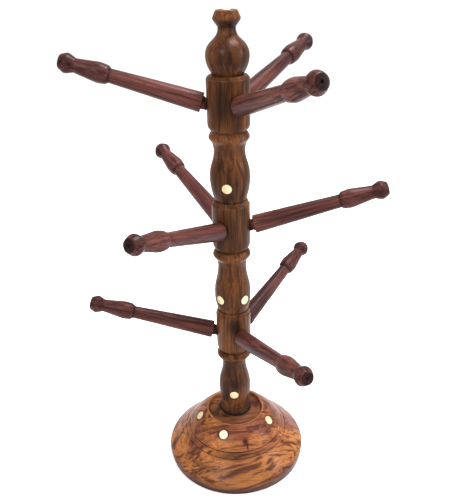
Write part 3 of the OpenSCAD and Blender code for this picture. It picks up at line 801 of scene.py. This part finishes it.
def add_discs(name, body, places, surface_gap):
    """Flat plugs whose tops follow the turned surface: a polar grid of points at (radius,
    angle), each dropped onto the surface by surface_gap, with an eased rim and a side wall."""
    radii = np.array([0.25, 0.5, 0.75, 0.92, 0.985, 1.0]) * INLAY_D / 2
    around = 72
    a = np.arange(around) * 2 * np.pi / around
    points, faces = [], []
    for centre, way in places:
        w = np.array(way)
        side = np.cross((0, 0, 1), w)
        side /= np.linalg.norm(side)
        up = np.cross(w, side)
        start = sum(len(p) for p in points)
        ring = np.stack([np.array(centre) + r * (np.cos(a)[:, None] * side + np.sin(a)[:, None] * up)
                         for r in radii])
        drop = surface_gap(ring.reshape(-1, 3), w).reshape(len(radii), around)
        ease = np.array([0.04, 0.04, 0.04, 0.03, 0.0, -0.06])[:, None]
        top = ring + (drop + ease)[..., None] * w
        floor_ring = ring[-1] - INLAY_T * w
        piece_points = np.vstack([top.reshape(-1, 3), floor_ring, np.array(centre) + 0.04 * w,
                                  np.array(centre) - INLAY_T * w])
        rows = len(radii) + 1
        j, k = np.arange(around), (np.arange(around) + 1) % around
        for i in range(rows - 1):
            faces += (start + np.stack([i * around + j, (i + 1) * around + j,
                                        (i + 1) * around + k, i * around + k], 1)).tolist()
        middle, under = rows * around, rows * around + 1
        faces += (start + np.stack([np.full(around, middle), j, k], 1)).tolist()
        last = (rows - 1) * around
        faces += (start + np.stack([np.full(around, under), last + k, last + j], 1)).tolist()
        points.append(piece_points)
    piece = make_piece(name + "_set", np.vstack(points), faces)
    smooth(piece)
    piece.data.materials.append(FINISH["disc"])
    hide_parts(name)
    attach(piece, body)
    return piece


def gap_to_outline(outline):
    """A function that says how far to move points along a direction to reach a turned surface.
    It follows the surface's radius at the point's height, or its height at the point's radius
    where the direction leans up."""
    def gap(points, way):
        move = np.zeros(len(points))
        for _ in range(8):
            now = points + move[:, None] * way
            r, z = np.hypot(now[:, 0], now[:, 1]), now[:, 2]
            if abs(way[2]) > 0.2:
                order = np.argsort(outline[:, 0])
                move += (np.interp(r, outline[order, 0], outline[order, 1]) - z) * way[2]
            else:
                move += np.interp(z, outline[:, 1], outline[:, 0]) - r
        return move
    return gap


def wooden(name, body, timber, outline, around, seed, place=(0, 0, 0), way=(0, 0, 1), cutters=(),
           dark=(), warm=(), threads=()):
    """A turned wooden piece that stands for a CAD node."""
    finish, slot, fibre = TIMBER[timber]
    points, faces = lathe(outline, around, threads)
    piece = make_piece(name + "_turned", placed(points, place, way), faces)
    if cutters:
        cut(piece, cutters)
    finish_wood(piece, outline, place, way, fibre or way, seed, dark, warm)
    smooth(piece)
    piece.data.materials.clear()
    piece.data.materials.append(FINISH[finish])
    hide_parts(name)
    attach(piece, body)
    return piece


def peg_line(name):
    """A peg's root face and outward direction, from its packed joint."""
    t = TIERS.index(name.split("_")[1])
    way = np.array(JOINTS[name + "_out"]["axis"])
    way /= np.linalg.norm(way)
    lean = math.asin(way[2])
    root = (DRUM_D[t] / 2 + PEG_ROOT_D / 2 * math.sin(lean) + PEG_GAP) / math.cos(lean)
    return t, np.array((0, 0, JOINT_Z[t] + PEG_RISE[t])) + root * way, way


PEGS = sorted(name for name in frame["nodes"] if name.startswith("peg_"))


def peg_holes(tier):
    holes = []
    for t, root, way in map(peg_line, PEGS):
        if t == tier:
            deep = PEG_TENON_LEN + TENON_END
            holes.append((root - deep * way, way, PEG_TENON_D / 2 + TENON_FIT, deep + PEG_ROOT_D))
    return holes


def round_discs(places):
    """Dark glue and sanding dust in a ring round each disc."""
    return [((math.degrees(math.atan2(y, x)), math.hypot(x, y), z), (6, 6, 6), 6, 0.85)
            for (x, y, z), _ in places]


def shade_round_pegs(tier):
    """Painted shadow of each peg round its hole, with the wood there darkened by oil as well."""
    found = [(root, way) for t, root, way in map(peg_line, PEGS) if t == tier]
    r = DRUM_D[tier] / 2
    return [((math.degrees(math.atan2(way[1], way[0])), r, JOINT_Z[tier] + PEG_RISE[tier] + r * way[2]),
             (10, 10, 10), 4, 0.75) for root, way in found]


def build_base():
    """The base with its discs. Marks are darker and paler places: the timber's own, and painted shade in the
    dish and on the lower rim.
    """
    places = dome_disc_places()
    ring = DOME_D / 2
    dark = round_discs(places) + [
        # painted shade in the dish and on the lower rim, and a darker place at the front of the side
        ((0, 0, SEAT_Z - 3), (ALL_ROUND, CREST_D / 2 - 2, 5), 6, 0.6),
        ((0, BASE_D / 2, 0), (ALL_ROUND, 14, 13), 4, 0.78),
        ((-92, 66, 17), (52, 13, 13), 3, 0.42),
        # dark bands under the dome's front edge and at the left of the side
        ((-84, ring + 3, DOME_EDGE_H - 4), (34, 6, 5), 4, 0.6),
        ((-120, ring + 14, 22), (30, 4, 4), 4, 0.55),
        # a knot with the crack that runs down from it, and a small knot above
        ((-78, 43, 43), (3.4, 4.2, 3.6), 3, 1),
        ((-76.5, 47, 40), (1, 6, 6), 4, 1),
        ((-70, 33.5, 50), (2.2, 2.4, 3), 3, 0.8),
    ]
    warm = [
        ((-117, 46, 41), (24, 9, 8), 3, 0.9),
        ((-62, 46, 41), (14, 9, 8), 3, 0.6),
        ((-40, 64, 20), (18, 9, 9), 3, 0.7),
        ((-105, 60, 26), (30, 3, 3), 3, 0.7),
    ]
    wooden("base", "base", "base", filled_in(base_outline(), BASE_STEP), BASE_AROUND, 3,
           cutters=disc_cutters(places), dark=dark, warm=warm)
    add_discs("dome_inlays", "base", places, gap_to_outline(bezier(dome_curve(), 200)))


def ringed(z, reach, strength):
    """A mark all round the column at a height."""
    return ((0, 16, z), (ALL_ROUND, 20, reach), 4, strength)


def column_marks():
    """The dark places and the warm places in each length of the column: the timber's own, with painted shade
    at the collar, the necks and the cap's underside, and painted highlight on the beads and the cap's top.
    """
    r = 17
    foot_z, lower_z, top_z = WAIST_Z[LOWER], JOINT_Z[LOWER], JOINT_Z[UPPER]
    # Painted shade: the rings at the collar and the cove above it, at each neck under its bead, and low on
    # the cap. The rest are the timber's own dark places.
    dark = {
        "column_foot": [ringed(SEAT_Z + 2.4, 3.2, 0.95), ringed(SEAT_Z + 6, 4, 0.5),
                        ((-88, r, foot_z + 29), (8, 9, 8), 2, 0.95),
                        ((-135, r, foot_z + 15), (9, 9, 10), 3, 0.75), ringed(NECK_Z[LOWER], 6, 0.3)],
        "lower_tier": [((-88, r, lower_z + 34), (7, 9, 11), 3, 0.95), ringed(NECK_Z[MIDDLE], 6, 0.3),
                       ringed(WIDEST_Z[MIDDLE], 22, 0.34),
                       ((-112, r, WIDEST_Z[MIDDLE]), (4, 9, 14), 2, 0.6)],
        "middle_tier": [((-105, r, JOINT_Z[MIDDLE] + 30), (5, 9, 14), 2, 0.5),
                        ringed(NECK_Z[UPPER], 5, 0.3), ringed(WIDEST_Z[UPPER], 22, 0.4),
                        ((-95, r, WAIST_Z[UPPER] + 6), (12, 9, 5), 3, 0.5)],
        "upper_tier": [((-110, r, top_z + 26), (6, 9, 18), 3, 0.8), ringed(FINIAL_NECK_Z + 3, 4, 0.7),
                       ((-80, r, BULB_Z - 6), (13, 9, 6), 2, 0.4)],
    }
    # Painted highlight: the rings on the bead under each joint and on the cap's top. The rest are the
    # timber's own warm tone.
    warm = {
        "column_foot": [ringed(lower_z - 6, 3.5, 0.5), ((-50, r, foot_z + 17), (6, 9, 8), 3, 0.95)],
        "lower_tier": [ringed(JOINT_Z[MIDDLE] - 6, 3.5, 0.6), ringed(lower_z + 22, 24, 0.85),
                       ((-72, r, WIDEST_Z[MIDDLE] + 2), (6, 9, 13), 2, 0.7)],
        "middle_tier": [ringed(top_z - 6, 4, 0.7), ((-70, r, WIDEST_Z[UPPER] + 5), (4, 9, 13), 2, 0.7),
                        ((-108, r, WIDEST_Z[UPPER] + 5), (3, 9, 13), 2, 0.5),
                        ((-66, r, JOINT_Z[MIDDLE] + 24), (3, 9, 18), 3, 0.6)],
        "upper_tier": [ringed(CAP_Z - 3, 4, 0.5), ((-48, r, top_z + 20), (4, 9, 22), 3, 0.6),
                       ((-135, r, BULB_Z + 3), (6, 9, 6), 2, 0.5), ((-52, r, BULB_Z + 1), (6, 9, 7), 2, 0.4)],
    }
    return dark, warm


def build_column():
    """The four lengths of the column with their discs, and the button."""
    dark, warm = column_marks()
    discs = column_disc_places(LOWER)
    wooden("column_foot", "foot", "column", filled_in(foot_outline(), COLUMN_STEP), COLUMN_AROUND, 11,
           cutters=disc_cutters(discs), dark=dark["column_foot"] + round_discs(discs),
           warm=warm["column_foot"])
    add_discs("foot_inlays", "foot", discs, gap_to_outline(baluster_outline(LOWER)))
    for t in (LOWER, MIDDLE):
        tier, discs = TIERS[t] + "_tier", column_disc_places(t + 1)
        wooden(tier, tier, "column", filled_in(tier_outline(t), COLUMN_STEP), COLUMN_AROUND, 12 + t,
               cutters=peg_holes(t) + disc_cutters(discs),
               dark=dark[tier] + round_discs(discs) + shade_round_pegs(t), warm=warm[tier])
        add_discs(TIERS[t] + "_inlays", tier, discs, gap_to_outline(baluster_outline(t + 1)))
    wooden("upper_tier", "upper_tier", "column", filled_in(upper_outline(), COLUMN_STEP),
           COLUMN_AROUND, 21, cutters=peg_holes(UPPER),
           dark=dark["upper_tier"] + shade_round_pegs(UPPER), warm=warm["upper_tier"])
    build_button()


def build_button():
    """A plug with a quarter-ellipse dome."""
    a = np.linspace(0, np.pi / 2, CURVE)
    dome = np.stack([BUTTON_D / 2 * np.cos(a), CAP_Z + BUTTON_H * np.sin(a)], 1)
    dome[-1, 0] = 0
    outline = joined([(0, CAP_Z - INLAY_T), (BUTTON_D / 2, CAP_Z - INLAY_T)], dome)
    piece = make_piece("finial_button_turned", *lathe(outline, 72))
    smooth(piece)
    piece.data.materials.append(FINISH["disc"])
    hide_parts("finial_button")
    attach(piece, "upper_tier")


def build_pegs():
    """The nine pegs, whose outlines have closer points along the thread."""
    outline = filled_in(peg_outline(), PEG_STEP)
    on_thread = outline[(outline[:, 1] < -0.01) & (outline[:, 0] > 1)]
    whole = joined(outline[:1], filled_in(on_thread, THREAD_STEP), outline[outline[:, 1] >= -0.01])
    end_z = PEG_SHAFT + BARREL_LEN + KNOB_LEN
    dark = [
        ((0, 0, -PEG_TENON_LEN / 2), (ALL_ROUND, 7, PEG_TENON_LEN / 2 + 0.3), 10, 1),
        ((0, 0, end_z + 2), (ALL_ROUND, 9, 4), 10, 0.95),
        ((0, 0, end_z), (ALL_ROUND, 2, 4), 4, 1),
        ((0, 0, end_z - KNOB_LEN / 2), (ALL_ROUND, 30, KNOB_LEN / 2), 8, 0.35),
        ((0, 0, PEG_SHAFT), (ALL_ROUND, 30, 1.2), 2, 0.6),
    ]
    for number, name in enumerate(PEGS):
        _, root, way = peg_line(name)
        wooden(name, name, "peg", whole, PEG_AROUND, 40 + number, tuple(root), tuple(way), dark=dark,
               threads=[(-PEG_TENON_LEN, 0, PEG_PITCH)])


add_camera()
add_studio()
FIGURE = figure_group()
# Each timber's finish, its slot and the direction its fibre runs, where that is not its axis
TIMBER = {
    "base": ("base", "base_wood", (1, 0.1, -0.06)),
    "column": ("column", "column_wood", None),
    "peg": ("peg", "peg_wood", None),
}
FINISH = {
    "base": wood_finish(
        "golden_rosewood", FIGURE,
        ((0.27, 0.100, 0.030), (0.125, 0.038, 0.018), (0.040, 0.0105, 0.0085), (0.011, 0.0036, 0.0036)),
        (150.0, 210.0, 2.4, (0.05, 0.12, -0.06)), (0.85, 0.4, 0.7)),
    "column": wood_finish(
        "dark_rosewood", FIGURE,
        ((0.110, 0.038, 0.012), (0.034, 0.0115, 0.005), (0.011, 0.0042, 0.0024), (0.0032, 0.0017, 0.0014)),
        (260.0, 330.0, 0.8, (0.05, 0.02, 0.0)), (0.6, 0.35, 0.6)),
    "peg": wood_finish(
        "red_rosewood", FIGURE,
        ((0.084, 0.027, 0.021), (0.042, 0.0125, 0.0105), (0.015, 0.0048, 0.0044), (0.004, 0.0018, 0.0018)),
        (330.0, 420.0, 0.6, (0.03, 0.01, 0.0)), (0.75, 0.35, 0.5)),
    "disc": disc_finish(),
}
build_base()
build_column()
build_pegs()
